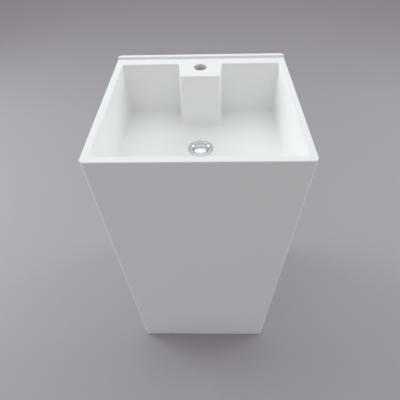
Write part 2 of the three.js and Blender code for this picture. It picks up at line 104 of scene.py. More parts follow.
class BasinSizes(bpy.types.PropertyGroup):
    """Sizes of the body, in metres."""
    lean: FloatProperty(name="Wall lean", description="How far a wall leans in for each metre down",
                        default=0.028125)
    wall: FloatProperty(name="Wall", description="Thickness of the outer walls",
                        default=0.018, unit="LENGTH")
    basin_back: FloatProperty(name="Basin back", description="Rim-level place of the basin's rear wall",
                              default=0.180, unit="LENGTH")
    rear_wall: FloatProperty(name="Rear wall", description="Thickness of the basin's rear wall",
                             default=0.012, unit="LENGTH")
    block_front: FloatProperty(name="Block front width", description="Width of the tap block's front",
                               default=0.102, unit="LENGTH")
    block_rear: FloatProperty(name="Block rear width", description="Width of the block at the rear wall",
                              default=0.113, unit="LENGTH")
    block_flare: FloatProperty(name="Block flare", description="Spread of a cheek for each metre down",
                               default=0.0165)
    block_wall: FloatProperty(name="Block wall", description="Thickness of the hollow tap block",
                              default=0.012, unit="LENGTH")
    tap_hole: FloatProperty(name="Tap hole radius", description="Radius of the open tap hole",
                            default=0.0175, unit="LENGTH")
    tap_hole_y: FloatProperty(name="Tap hole place", description="Place of the tap hole behind the middle",
                              default=0.161, unit="LENGTH")
    dish_radius: FloatProperty(name="Dish radius", description="Radius of the fall round the waste",
                               default=0.130, unit="LENGTH")
    dish_fall: FloatProperty(name="Dish fall", description="Depth of the fall at the waste",
                             default=0.005, unit="LENGTH")
    outer_round: FloatProperty(name="Outer rounding", description="Radius of the upright outer edges",
                               default=0.012, unit="LENGTH")
    inner_round: FloatProperty(name="Inner rounding", description="Radius of the basin's upright corners",
                               default=0.0045, unit="LENGTH")
    block_round: FloatProperty(name="Block rounding", description="Radius of the tap block's upright edges",
                               default=0.005, unit="LENGTH")
    cove: FloatProperty(name="Cove", description="Radius where the walls meet the basin floor",
                        default=0.004, unit="LENGTH")
    arris: FloatProperty(name="Arris", description="Radius of the eased edges of the rim",
                         default=0.0022, unit="LENGTH")
    steps: IntProperty(name="Round steps", description="Steps in a quarter round of the body", default=8)
    turns: IntProperty(name="Turned steps", description="Steps round a turned piece", default=72)
    strip: FloatProperty(name="Strip", description="Thickness of the strips inside the body",
                         default=0.018, unit="LENGTH")


class BasinFinishes(bpy.types.PropertyGroup):
    """Colours of the pieces."""
    solid_colour: FloatVectorProperty(name="Solid surface", description="Colour of the body",
                                      subtype="COLOR", size=3, default=(0.925, 0.965, 0.945))
    chrome_colour: FloatVectorProperty(name="Chrome", description="Colour of the plated waste",
                                       subtype="COLOR", size=3, default=(0.72, 0.74, 0.75))
    brass_colour: FloatVectorProperty(name="Brass", description="Colour of the unplated brass",
                                      subtype="COLOR", size=3, default=(0.55, 0.39, 0.15))
    steel_colour: FloatVectorProperty(name="Steel", description="Colour of the zinc-plated fixings",
                                      subtype="COLOR", size=3, default=(0.46, 0.48, 0.50))
    rubber_colour: FloatVectorProperty(name="Rubber", description="Colour of the seals and pads",
                                       subtype="COLOR", size=3, default=(0.018, 0.018, 0.019))
    white_colour: FloatVectorProperty(name="White plastic", description="Colour of the trap",
                                      subtype="COLOR", size=3, default=(0.78, 0.78, 0.74))
    grey_colour: FloatVectorProperty(name="Grey plastic", description="Colour of the click cartridge",
                                     subtype="COLOR", size=3, default=(0.24, 0.26, 0.28))
    floor_colour: FloatVectorProperty(name="Floor", description="Colour of the studio floor",
                                      subtype="COLOR", size=3, default=(0.40, 0.38, 0.40))


def sizes():
    return bpy.context.scene.basin_sizes


def finishes():
    return bpy.context.scene.basin_finishes


# ---- Modelling helpers ----

def waste_centre():
    return Vector((WASTE.x, WASTE.y, 0))


def clear_selection():
    if bpy.context.mode != "OBJECT":
        bpy.ops.object.mode_set(mode="OBJECT")
    bpy.ops.object.select_all(action="DESELECT")


def activate(piece):
    clear_selection()
    piece.select_set(True)
    bpy.context.view_layer.objects.active = piece


def open_mesh(piece):
    activate(piece)
    bpy.ops.object.mode_set(mode="EDIT")
    bpy.ops.mesh.select_mode(type="VERT")
    bpy.ops.mesh.select_all(action="SELECT")


def close_mesh():
    bpy.ops.object.mode_set(mode="OBJECT")


def settle(name):
    """Names the primitive just added and puts its place in its mesh."""
    piece = bpy.context.object
    piece.name = name
    piece.data.name = name
    bpy.ops.object.transform_apply(location=True, rotation=True, scale=True)
    return piece


def pick(kind, test):
    """Selects the parts of the open mesh that pass the test and says how many there are."""
    bpy.ops.mesh.select_mode(type=kind)
    bpy.ops.mesh.select_all(action="DESELECT")
    data = bpy.context.edit_object.data
    mesh = bmesh.from_edit_mesh(data)
    mesh.normal_update()
    parts = {"VERT": mesh.verts, "EDGE": mesh.edges, "FACE": mesh.faces}[kind]
    chosen = [part for part in parts if test(part)]
    for part in chosen:
        part.select_set(True)
    bmesh.update_edit_mesh(data)
    return len(chosen)


def middle(edge):
    return (edge.verts[0].co + edge.verts[1].co) / 2


def along(edge, axis):
    way = edge.verts[1].co - edge.verts[0].co
    return abs(way[axis]) > 0.9 * way.length


def not_rounded(edge):
    """Tells a sharp corner from the fine edges of a rounding."""
    return edge.calc_face_angle(0) > math.radians(60)


def soften_edges(piece, test, radius, steps):
    """Rounds the edges that pass the test."""
    open_mesh(piece)
    if pick("EDGE", test):
        bpy.ops.mesh.bevel(offset=radius, segments=steps, profile=0.5, affect="EDGES", clamp_overlap=True)
    close_mesh()


def block(name, low, high):
    """A cuboid between two corners."""
    low, high = Vector(low), Vector(high)
    clear_selection()
    bpy.ops.mesh.primitive_cube_add(size=1, location=(low + high) / 2, scale=high - low)
    return settle(name)


def lean_walls(piece, x_way=1, y_way=1):
    """Shifts a cuboid's corners so that walls drawn at the rim lean as the body's walls do."""
    levels = sorted({round(vertex.co.z, 6) for vertex in piece.data.vertices})
    open_mesh(piece)
    for level in levels:
        shift = sizes().lean * (RIM - level)
        for x_side in (-1, 1):
            for y_side in (-1, 1):
                def corner(vertex):
                    at = vertex.co
                    return abs(at.z - level) < SAME and at.x * x_side > 0 and at.y * y_side > 0
                if pick("VERT", corner):
                    bpy.ops.transform.translate(value=(-x_side * shift * x_way, -y_side * shift * y_way, 0))
    close_mesh()


def leaning_block(name, low, high, x_way=1, y_way=1):
    piece = block(name, low, high)
    lean_walls(piece, x_way, y_way)
    return piece


def apply_modifier(piece, kind, **values):
    activate(piece)
    modifier = piece.modifiers.new(kind.lower(), kind)
    for key, value in values.items():
        setattr(modifier, key, value)
    bpy.ops.object.modifier_apply(modifier=modifier.name)


def discard(piece):
    mesh = piece.data
    bpy.data.objects.remove(piece)
    bpy.data.meshes.remove(mesh)


def carve(piece, *tools, operation="DIFFERENCE", keep=False):
    for tool in tools:
        apply_modifier(piece, "BOOLEAN", operation=operation, object=tool, solver="EXACT")
        if not keep:
            discard(tool)


def copy_of(piece, name):
    twin = piece.copy()
    twin.data = piece.data.copy()
    twin.name = name
    twin.data.name = name
    bpy.context.collection.objects.link(twin)
    return twin


def mend(piece):
    """Merges doubles and turns all faces outwards."""
    open_mesh(piece)
    bpy.ops.mesh.remove_doubles(threshold=1e-6)
    bpy.ops.mesh.normals_make_consistent(inside=False)
    close_mesh()


def rounded_outline(outline, closed, steps=4):
    """Replaces each corner (radius, height, softness) of an outline by a curve of that reach."""
    points = []
    count = len(outline)
    for i, (r, z, soft) in enumerate(outline):
        here = Vector((r, z))
        if soft == 0 or (not closed and i in (0, count - 1)):
            points.append(here)
            continue
        back = Vector(outline[i - 1][:2]) - here
        on = Vector(outline[(i + 1) % count][:2]) - here
        reach = min(soft, 0.49 * back.length, 0.49 * on.length)
        start = here + back.normalized() * reach
        end = here + on.normalized() * reach
        for step in range(steps + 1):
            t = step / steps
            points.append(start * (1 - t) ** 2 + here * (2 * t * (1 - t)) + end * t ** 2)
    return points


def turned(name, outline, centre, along_y=False, closed=True, steps=None):
    """A round piece: an outline in millimetres is drawn point by point and spun about its axis."""
    points = [point * MM for point in rounded_outline(outline, closed)]
    places = [centre + (Vector((r, z, 0)) if along_y else Vector((r, 0, z))) for r, z in points]
    axis = (0, 1, 0) if along_y else (0, 0, 1)
    clear_selection()
    bpy.ops.mesh.primitive_circle_add(vertices=3, radius=MM, location=places[0])
    piece = settle(name)
    open_mesh(piece)
    bpy.ops.mesh.merge(type="CENTER")
    for before, after in zip(places, places[1:]):
        bpy.ops.mesh.extrude_vertices_move(TRANSFORM_OT_translate={"value": after - before})
    if closed:
        pick("VERT", lambda vertex: len(vertex.link_edges) < 2)
        bpy.ops.mesh.edge_face_add()
    bpy.ops.mesh.select_all(action="SELECT")
    bpy.ops.mesh.spin(steps=steps or sizes().turns, angle=2 * math.pi, center=centre, axis=axis)
    close_mesh()
    mend(piece)
    return piece


def rod(name, radius, low, high, centre, axis="Z", sides=64):
    """A plain cylinder along an axis, used as a cutting tool."""
    turn = {"X": (0, math.pi / 2, 0), "Y": (math.pi / 2, 0, 0), "Z": (0, 0, 0)}[axis]
    at = Vector(centre)
    at["XYZ".index(axis)] = (low + high) / 2
    clear_selection()
    bpy.ops.mesh.primitive_cylinder_add(vertices=sides, radius=radius, depth=high - low, location=at,
                                        rotation=turn)
    return settle(name)


def finish_piece(piece, node, slot, body="body", angle=35):
    """Gives a finished piece its name, shading, material and body in place of a node of the frame."""
    piece.name = f"{node}_piece"
    piece.data.name = piece.name
    activate(piece)
    bpy.ops.object.shade_smooth_by_angle(angle=math.radians(angle))
    apply_modifier(piece, "WEIGHTED_NORMAL", keep_sharp=True)
    piece.data.materials.clear()
    piece.data.materials.append(material_for(slot))
    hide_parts(node)
    if body is not None:
        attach(piece, body)
    return piece


# ---- Materials ----

def new_material(name, colour, roughness, metallic=0.0, ior=1.5):
    """A material with one Principled shader; returns its nodes, links and shader."""
    material = bpy.data.materials.new(name)
    material.use_nodes = True
    nodes = material.node_tree.nodes
    shader = nodes["Principled BSDF"]
    shader.inputs["Base Color"].default_value = (*colour, 1)
    shader.inputs["Roughness"].default_value = roughness
    shader.inputs["Metallic"].default_value = metallic
    shader.inputs["IOR"].default_value = ior
    return material, nodes, material.node_tree.links, shader


def object_noise(nodes, links, scale, detail=3.0, stretch=(1, 1, 1)):
    """Noise that is fixed to the piece, in cells per metre."""
    place = nodes.new("ShaderNodeTexCoord")
    mapping = nodes.new("ShaderNodeMapping")
    mapping.inputs["Scale"].default_value = stretch
    noise = nodes.new("ShaderNodeTexNoise")
    noise.inputs["Scale"].default_value = scale
    noise.inputs["Detail"].default_value = detail
    links.new(place.outputs["Object"], mapping.inputs["Vector"])
    links.new(mapping.outputs["Vector"], noise.inputs["Vector"])
    return noise.outputs["Fac"]


def spread(nodes, links, source, low, high, start=0.3, end=0.7):
    """Maps a value from start..end to low..high."""
    stage = nodes.new("ShaderNodeMapRange")
    stage.inputs["From Min"].default_value = start
    stage.inputs["From Max"].default_value = end
    stage.inputs["To Min"].default_value = low
    stage.inputs["To Max"].default_value = high
    links.new(source, stage.inputs["Value"])
    return stage.outputs["Result"]


def tint(nodes, links, source, dark, light, target):
    """Colours a socket between two tones."""
    mix = nodes.new("ShaderNodeMix")
    mix.data_type = "RGBA"
    mix.inputs["A"].default_value = (*dark, 1)
    mix.inputs["B"].default_value = (*light, 1)
    links.new(source, mix.inputs["Factor"])
    links.new(mix.outputs["Result"], target)


def bump(nodes, links, source, shader, strength, distance):
    relief = nodes.new("ShaderNodeBump")
    relief.inputs["Strength"].default_value = strength
    relief.inputs["Distance"].default_value = distance
    links.new(source, relief.inputs["Height"])
    links.new(relief.outputs["Normal"], shader.inputs["Normal"])


def shade(colour, factor):
    return tuple(min(1.0, channel * factor) for channel in colour)


def solid_surface():
    """Matt, fine-sanded mineral acrylic: barely mottled, with a soft sheen that varies with the sanding."""
    colour = finishes().solid_colour
    material, nodes, links, shader = new_material("solid_surface", colour, 0.42)
    cloud = object_noise(nodes, links, 7, 4)
    tint(nodes, links, spread(nodes, links, cloud, 0, 1), shade(colour, 0.975), shade(colour, 1.015),
         shader.inputs["Base Color"])
    sanding = object_noise(nodes, links, 60, 5)
    links.new(spread(nodes, links, sanding, 0.36, 0.47), shader.inputs["Roughness"])
    grain = object_noise(nodes, links, 900, 2)
    bump(nodes, links, grain, shader, 0.05, 0.0004)
    return material


def metal(name, colour, smooth, rough, cells, stretch=(1, 1, 1), relief=0.02):
    """Metal whose polish varies from smooth to rough in cells of the given fineness."""
    material, nodes, links, shader = new_material(name, colour, rough, metallic=1.0)
    handling = object_noise(nodes, links, cells, 5, stretch)
    links.new(spread(nodes, links, handling, smooth, rough), shader.inputs["Roughness"])
    tint(nodes, links, spread(nodes, links, handling, 0, 1), shade(colour, 0.93), shade(colour, 1.04),
         shader.inputs["Base Color"])
    grain = object_noise(nodes, links, cells * 8, 2, stretch)
    bump(nodes, links, grain, shader, relief, 0.0002)
    return material


def chrome():
    return metal("chrome", finishes().chrome_colour, 0.04, 0.12, 90)


def turned_brass():
    return metal("turned_brass", finishes().brass_colour, 0.18, 0.34, 260, (1, 1, 9), 0.12)


def zinc_plate():
    return metal("zinc_plate", finishes().steel_colour, 0.28, 0.46, 150, (1, 4, 1), 0.08)


def spring_wire():
    return metal("spring_wire", finishes().steel_colour, 0.16, 0.26, 400, (1, 1, 1), 0.05)


def rubber():
    """Moulded rubber, matt with a little bloom."""
    colour = finishes().rubber_colour
    material, nodes, links, shader = new_material("seal_rubber", colour, 0.7)
    bloom = object_noise(nodes, links, 120, 4)
    tint(nodes, links, spread(nodes, links, bloom, 0, 1), colour, shade(colour, 2.2),
         shader.inputs["Base Color"])
    links.new(spread(nodes, links, bloom, 0.62, 0.82), shader.inputs["Roughness"])
    bump(nodes, links, object_noise(nodes, links, 1400, 2), shader, 0.15, 0.0003)
    return material


def plastic(name, colour, smooth, rough):
    """Moulded plastic with slight flow marks and a fine moulding texture."""
    material, nodes, links, shader = new_material(name, colour, rough, ior=1.49)
    flow = object_noise(nodes, links, 35, 3, (1, 1, 0.4))
    tint(nodes, links, spread(nodes, links, flow, 0, 1), shade(colour, 0.95), shade(colour, 1.03),
         shader.inputs["Base Color"])
    links.new(spread(nodes, links, flow, smooth, rough), shader.inputs["Roughness"])
    bump(nodes, links, object_noise(nodes, links, 700, 2), shader, 0.06, 0.0003)
    return material


def white_plastic():
    return plastic("white_plastic", finishes().white_colour, 0.22, 0.34)


def grey_plastic():
    return plastic("grey_plastic", finishes().grey_colour, 0.38, 0.5)


def studio_floor():
    """Plain pale floor."""
    colour = finishes().floor_colour
    material, nodes, links, shader = new_material("studio_floor", colour, 0.6)
    cloud = object_noise(nodes, links, 3, 3)
    tint(nodes, links, spread(nodes, links, cloud, 0, 1), shade(colour, 0.985), colour,
         shader.inputs["Base Color"])
    return material


MAKERS = {
    "solid_surface": solid_surface,
    "chrome": chrome,
    "brass": turned_brass,
    "steel": zinc_plate,
    "spring_steel": spring_wire,
    "seal_rubber": rubber,
    "foot_rubber": rubber,
    "white_plastic": white_plastic,
    "grey_plastic": grey_plastic,
}


def material_for(slot):
    """The material of a slot, made when it is first asked for."""
    made = bpy.data.materials.get(slot)
    if made is None:
        made = MAKERS[slot]()
        made.name = slot
    return made


# ---- Body ----

def block_form(name, inset, back, low, high):
    """The tap block's tapered form from its front to the given back, drawn in from its faces by the inset."""
    s = sizes()
    front = BLOCK_FRONT + inset
    half = s.block_front / 2 - inset
    taper = (s.block_rear - s.block_front) / 2 / (s.basin_back - BLOCK_FRONT)
    form = block(name, (-half, front, low), (half, back, high))
    open_mesh(form)
    for x_side in (-1, 1):
        for y in (front, back):
            pick("VERT", lambda vertex: vertex.co.x * x_side > 0 and abs(vertex.co.y - y) < SAME)
            bpy.ops.transform.translate(value=(x_side * taper * (y - BLOCK_FRONT), 0, 0))
    close_mesh()
    lean_walls(form, -s.block_flare / s.lean, 1)
    return form


def basin_void():
    """The space in the basin, beside and in front of the tap block, with its rounded corners."""
    s = sizes()
    inside = HALF_TOP - s.wall
    void = leaning_block("basin_void", (-inside, -inside, FLOOR_TOP), (inside, s.basin_back, RIM + 20 * MM))
    carve(void, block_form("block_core", 0, s.basin_back + 10 * MM, FLOOR_TOP - 10 * MM, RIM + 30 * MM))

    def at_block_front(at):
        return abs(at.x) < s.block_rear / 2 and 0 < at.y < s.basin_back - 20 * MM

    def upright(edge):
        return along(edge, 2) and edge.calc_length() > 0.1

    def block_corner(edge):
        return upright(edge) and at_block_front(middle(edge))

    def basin_corner(edge):
        return upright(edge) and not at_block_front(middle(edge)) and not_rounded(edge)
    soften_edges(void, block_corner, s.block_round, s.steps)
    soften_edges(void, basin_corner, s.inner_round, s.steps)

    def at_floor(edge):
        return all(abs(vertex.co.z - FLOOR_TOP) < SAME for vertex in edge.verts)
    soften_edges(void, at_floor, s.cove, 5)
    return void


def hollows():
    """The spaces inside the column, behind the basin's rear wall and inside the tap block."""
    s = sizes()
    inside = HALF_TOP - s.wall
    column = leaning_block("column_hollow", (-inside, -inside, -20 * MM), (inside, inside, FLOOR_LOW))
    near = inside - 0.1 * MM
    behind = leaning_block("behind_wall", (-near, s.basin_back + s.rear_wall, FLOOR_LOW - 10 * MM),
                           (near, near, DECK_LOW))
    in_block = block_form("in_block", s.block_wall, s.basin_back, FLOOR_TOP, DECK_LOW)
    duct_half, duct_front, duct_back = 36 * MM, 122 * MM, 170 * MM
    duct = block("duct", (-duct_half, duct_front, FLOOR_LOW - 10 * MM),
                 (duct_half, duct_back, FLOOR_TOP + MM))
    hole = rod("tap_hole", s.tap_hole, DECK_LOW - 10 * MM, RIM + 10 * MM, (0, s.tap_hole_y, 0))
    return [column, behind, in_block, duct, hole]


def service_opening():
    """The rounded opening in the back for the pipes and for a hand."""
    half, low, high = 130 * MM, 150 * MM, 600 * MM
    tool = block("service_opening", (-half, HALF_TOP - 105 * MM, low), (half, HALF_TOP + 35 * MM, high))
    soften_edges(tool, lambda edge: along(edge, 1), 20 * MM, sizes().steps)
    return tool


def sink_dish(body):
    """Lets the basin floor fall to the waste: the floor is cut into small squares and pressed down."""
    s = sizes()
    pitch = 8 * MM
    reach = math.ceil(s.dish_radius / pitch)
    top = FLOOR_TOP + s.cove

    def floor_face(face):
        at = face.calc_center_median()
        low = min(vertex.co.z for vertex in face.verts)
        high = max(vertex.co.z for vertex in face.verts)
        return low > FLOOR_TOP - MM and high < top + 0.5 * MM and face.normal.z > 0.02 and abs(at.x) < 0.21
    open_mesh(body)
    for axis, start in ((0, WASTE.x), (1, WASTE.y)):
        for step in range(-reach, reach + 1):
            spot = Vector((0, 0, 0))
            spot[axis] = start + step * pitch
            way = Vector((0, 0, 0))
            way[axis] = 1
            pick("FACE", floor_face)
            bpy.ops.mesh.bisect(plane_co=spot, plane_no=way)
    close_mesh()
    for vertex in body.data.vertices:
        at = vertex.co
        reach_share = math.hypot(at.x - WASTE.x, at.y - WASTE.y) / s.dish_radius
        if FLOOR_TOP - MM < at.z < top + 0.2 * MM and reach_share < 1:
            at.z -= s.dish_fall * (1 - reach_share ** 2)
    open_mesh(body)
    bpy.ops.mesh.quads_convert_to_tris()
    close_mesh()


def cast_body():
    """The whole seamless body in one mesh, before it is divided into its bonded sections."""
    s = sizes()
    body = leaning_block("body", (-HALF_TOP, -HALF_TOP, FOOT), (HALF_TOP, HALF_TOP, RIM))
    soften_edges(body, lambda edge: along(edge, 2), s.outer_round, s.steps + 4)
    carve(body, basin_void())
    carve(body, *hollows())
    carve(body, service_opening())

    def arris(edge):
        if len(edge.link_faces) != 2:
            return False
        tilt = sorted(abs(face.normal.z) for face in edge.link_faces)
        return all(abs(v.co.z - RIM) < SAME for v in edge.verts) and tilt[0] < 0.2 and tilt[1] > 0.9

    def hole_edge(edge):
        at = middle(edge)
        return math.hypot(at.x, at.y - s.tap_hole_y) < s.tap_hole + MM
    soften_edges(body, lambda edge: arris(edge) and not hole_edge(edge), s.arris, 4)
    soften_edges(body, lambda edge: arris(edge) and hole_edge(edge), 0.8 * MM, 3)
    sink_dish(body)
    seat, seat_radius, hole_radius = FLANGE_LOW - 1.6 * MM, 33 * MM, 22.9 * MM
    carve(body, rod("seat", seat_radius, seat, FLOOR_TOP + 5 * MM, waste_centre(), sides=96))
    carve(body, rod("waste_hole", hole_radius, FLOOR_LOW - 5 * MM, FLOOR_TOP, waste_centre(), sides=72))
    return body


def sections():
    """Each bonded section's node, whether its space leans, and the space's corners, in cutting order."""
    s = sizes()
    inside = HALF_TOP - s.wall
    past_round = s.inner_round + MM
    edge = inside - past_round
    back_cut = s.basin_back - past_round
    skin = 1.5 * MM
    past_cove = FLOOR_TOP + s.cove + 2.5 * MM
    half = s.block_rear / 2 + 6 * MM
    deck_cut = DECK_LOW - 0.4 * MM
    deck_end = inside - MM
    wall_back = s.basin_back + s.rear_wall + 7 * MM
    in_front = 50 * MM
    below, above, far = -10 * MM, RIM + 10 * MM, HALF_TOP + 20 * MM
    return (
        ("basin_floor", True, (-inside - skin, -inside - skin, FLOOR_LOW - MM),
         (inside + skin, s.basin_back + skin, past_cove)),
        ("tap_ledge", False, (-half, BLOCK_FRONT - 10 * MM, deck_cut - 0.2 * MM),
         (half, deck_end - 0.3 * MM, above + MM)),
        ("left_deck", False, (-edge, back_cut, deck_cut), (MM - half, deck_end, above)),
        ("right_deck", False, (half - MM, back_cut, deck_cut), (edge, deck_end, above)),
        ("tap_block", False, (-half - 4 * MM, in_front + 10 * MM, past_cove - 9 * MM),
         (half + 4 * MM, back_cut - 4 * MM, DECK_LOW + 5 * MM)),
        ("basin_rear_wall", True, (MM - edge, in_front, FLOOR_LOW - 2 * MM),
         (edge - MM, wall_back, DECK_LOW + 7 * MM)),
        ("front_panel", True, (-far, -far, below), (far, -edge, above)),
        ("back_panel", True, (-far, edge, below), (far, far, above)),
        ("left_panel", False, (-far, -far, below), (0, far, above)),
    )


def divide(body):
    """Cuts the body into its sections and returns them by node name; what is left is the right panel."""
    made = {}
    for name, leans, low, high in sections():
        make = leaning_block if leans else block
        space = make(f"{name}_space", low, high)
        section = copy_of(body, name)
        carve(section, space, operation="INTERSECT", keep=True)
        carve(body, space)
        made[name] = section
    made["right_panel"] = body
    return made


class BASIN_OT_body(bpy.types.Operator):
    """Builds the body's bonded sections"""
    bl_idname = "basin.body"
    bl_label = "Body sections"

    def execute(self, context):
        for name, section in divide(cast_body()).items():
            finish_piece(section, name, "solid_surface")
        return {"FINISHED"}


class BASIN_OT_lip(bpy.types.Operator):
    """Builds the raised lip along the back edge"""
    bl_idname = "basin.lip"
    bl_label = "Back lip"

    def execute(self, context):
        s = sizes()
        lip = block("back_lip", (-HALF_TOP, LIP_FRONT, RIM - 3.2 * MM), (HALF_TOP, HALF_TOP, TOP))

        def outer_corner(edge):
            return along(edge, 2) and middle(edge).y > HALF_TOP - MM

        def top_edge(edge):
            return all(abs(vertex.co.z - TOP) < SAME for vertex in edge.verts)
        soften_edges(lip, outer_corner, s.outer_round, s.steps + 4)
        soften_edges(lip, top_edge, 2.2 * MM, 5)
        finish_piece(lip, "back_lip", "solid_surface")
        return {"FINISHED"}


# ---- Strips and fixings ----

def strip_corners(node):
    """A strip's corners at rim level, from its place in the frame."""
    s = sizes()
    near = HALF_TOP - s.wall - GAP
    far = HALF_TOP - s.wall - s.strip
    end = far - GAP
    low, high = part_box(node)[0].z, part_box(node)[1].z
    side = node.split("_")[0]
    ways = {"front": (0, -1), "back": (0, 1), "left": (-1, 0), "right": (1, 0)}
    x_way, y_way = ways[side]
    reach = {-1: (-near, -far), 1: (far, near)}
    x_low, x_high = reach[x_way] if x_way else (-near, near)
    y_low, y_high = reach[y_way] if y_way else (-end, end)
    return (x_low, y_low, low), (x_high, y_high, high)


def strip(node):
    """A solid-surface strip with eased edges, cut with a saw and glued along the wall."""
    low, high = strip_corners(node)
    piece = leaning_block(node, low, high)
    soften_edges(piece, lambda edge: True, 1.2 * MM, 3)
    if "base_rail" in node and node.split("_")[0] in ("left", "right"):
        for end in (-1, 1):
            at = (0, end * SCREW_SPREAD, SCREW_HEIGHT)
            carve(piece, rod("pilot", 2.3 * MM, low[0] - 0.05, high[0] + 0.05, at, "X", 24))
    return piece


class BASIN_OT_strips(bpy.types.Operator):
    """Builds the bearers under the basin floor and the rails at the foot"""
    bl_idname = "basin.strips"
    bl_label = "Bearers and rails"

    def execute(self, context):
        for kind in ("bearer", "base_rail"):
            for side in ("front", "back", "left", "right"):
                node = f"{side}_{kind}"
                finish_piece(strip(node), node, "solid_surface")
        return {"FINISHED"}


def floor_bracket(side):
    """An angle bent from steel sheet, with rounded corners, two wall holes and one floor hole."""
    s = sizes()
    back = HALF_TOP - s.wall - s.strip - GAP
    sheet, height, foot, half = 3 * MM, 38 * MM, 40 * MM, 25 * MM
    x_leg = sorted((side * back, side * (back - sheet)))
    x_foot = sorted((side * back, side * (back - foot)))
    piece = block("bracket", (x_leg[0], -half, 0), (x_leg[1], half, height))
    plate = block("plate", (x_foot[0], -half, 0), (x_foot[1], half, sheet))
    carve(piece, plate, operation="UNION")
    lean_walls(piece, 1, 0)
    mend(piece)

    def from_back(at):
        return back - s.lean * (RIM - at.z) - abs(at.x)

    def long_edge(edge):
        return along(edge, 1) and edge.calc_length() > half

    def inner_bend(edge):
        at = middle(edge)
        return long_edge(edge) and abs(at.z - sheet) < MM / 2 and from_back(at) < 2 * sheet

    def outer_bend(edge):
        at = middle(edge)
        return long_edge(edge) and at.z < MM / 2 and from_back(at) < sheet / 2

    def free_corner(edge):
        at = middle(edge)
        in_foot = along(edge, 2) and from_back(at) > foot - sheet
        in_leg = along(edge, 0) and at.z > height - MM
        return abs(at.y) > half - MM and (in_foot or in_leg)
    soften_edges(piece, inner_bend, 2 * MM, 4)
    soften_edges(piece, outer_bend, 4 * MM, 6)
    soften_edges(piece, free_corner, 6 * MM, 6)
    for end in (-1, 1):
        at = (0, end * SCREW_SPREAD, SCREW_HEIGHT)
        carve(piece, rod("wall_hole", 2.6 * MM, x_foot[0] - 0.02, x_foot[1] + 0.02, at, "X", 32))
    bolt_x = side * (back - s.lean * RIM - foot / 2)
    carve(piece, rod("floor_hole", 4.5 * MM, -0.01, height, (bolt_x, 0, 0), "Z", 40))
    apply_modifier(piece, "BEVEL", width=0.3 * MM, segments=2, limit_method="ANGLE",
                   angle_limit=math.radians(50))
    return piece


def pan_head_screw():
    """A cross-recessed screw at the origin, with its head up; lengths in the outline are in millimetres."""
    thread = []
    tip, pitch, turns = -16.6, 1.4, 11
    for turn in range(turns):
        base = tip + 1.2 + turn * pitch
        thread += [(1.55, base, 0), (2.0, base + 0.35 * pitch, 0), (1.55, base + 0.7 * pitch, 0)]
    head = [(1.9, -0.3, 0), (4.5, 0, 0.3), (4.5, 1.3, 0.8), (2.6, 2.4, 1.0), (0, 2.5, 0)]
    outline = [(0, tip, 0), *thread, *head]
    screw = turned("screw", outline, Vector((0, 0, 0)), closed=False, steps=32)
    for x, y in ((2.6 * MM, 0.45 * MM), (0.45 * MM, 2.6 * MM)):
        carve(screw, block("recess", (-x, -y, 1.1 * MM), (x, y, 4 * MM)))
    return screw


def set_down(piece, at, turn=(0, 0, 0)):
    """Turns a piece about the origin, moves it to its place and puts that place in its mesh."""
    piece.rotation_euler = turn
    piece.location = at
    activate(piece)
    bpy.ops.object.transform_apply(location=True, rotation=True, scale=True)


def foot_pad(node):
    """A moulded rubber pad with rounded corners and a shallow hollow underneath."""
    low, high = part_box(node)
    pad = block(node, low, high)
    soften_edges(pad, lambda edge: along(edge, 2), 5 * MM, 6)
    open_mesh(pad)
    pick("FACE", lambda face: face.normal.z < -0.9)
    bpy.ops.mesh.inset(thickness=2.5 * MM)
    bpy.ops.mesh.inset(thickness=0.6 * MM)
    bpy.ops.transform.translate(value=(0, 0, 0.6 * MM))
    close_mesh()
    soften_edges(pad, lambda edge: abs(middle(edge).z - high.z) < SAME, 0.4 * MM, 3)
    return pad


class BASIN_OT_fixings(bpy.types.Operator):
    """Builds the floor brackets, their screws and the rubber pads"""
    bl_idname = "basin.fixings"
    bl_label = "Floor fixings"

    def execute(self, context):
        screw = pan_head_screw()
        for name, side in (("left", -1), ("right", 1)):
            node = f"{name}_floor_bracket"
            finish_piece(floor_bracket(side), node, "steel")
            for end in ("front", "back"):
                node = f"{name}_bracket_screw_{end}"
                low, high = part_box(node)
                head = high.x if side < 0 else low.x
                twin = copy_of(screw, node)
                set_down(twin, (head + side * 2.5 * MM, (low.y + high.y) / 2, (low.z + high.z) / 2),
                         (0, -side * math.pi / 2, 0))
                finish_piece(twin, node, "steel")
                node = f"foot_pad_{end}_{name}"
                finish_piece(foot_pad(node), node, "foot_rubber")
        discard(screw)
        return {"FINISHED"}


# ---- Waste and plug ----

def threads(low, high, crest, root, pitch):
    """The zigzag of a thread from low to high, as outline points in millimetres."""
    points = []
    for turn in range(int((high - low) / pitch)):
        base = low + turn * pitch
        points += [(root, base + 0.1 * pitch, 0), (crest, base + 0.4 * pitch, 0),
                   (crest, base + 0.6 * pitch, 0), (root, base + 0.9 * pitch, 0)]
    return points


